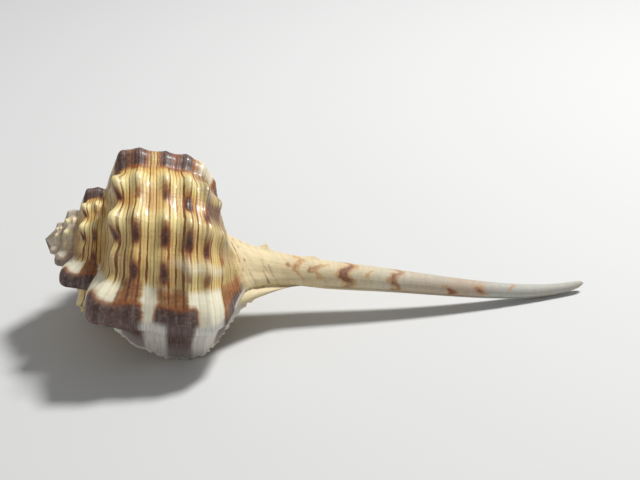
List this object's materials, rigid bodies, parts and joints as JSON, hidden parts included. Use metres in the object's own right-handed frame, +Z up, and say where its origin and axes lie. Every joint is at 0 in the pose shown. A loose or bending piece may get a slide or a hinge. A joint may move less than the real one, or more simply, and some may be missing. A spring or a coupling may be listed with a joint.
{
  "type": "murex shell",
  "caption": "Long-canalled murex shell lying on its mouth: round knobbed body whorl, low spire, rounded ridges and a long, slender, slightly bent siphonal canal.",
  "frame": {"origin": "middle of the bounding box in plan, on the surface that the shell lies on", "axes": "+X along the shell from the apex to the tip of the canal, -Y towards the side of the lip, +Z up"},
  "size_m": [0.1086, 0.0414, 0.035],
  "materials": {
    "shell_lime": "satin, glossier on the knobs and inside the mouth"
  },
  "bodies": {
    "root": {"shell": "shell_lime"}
  },
  "joints": []
}
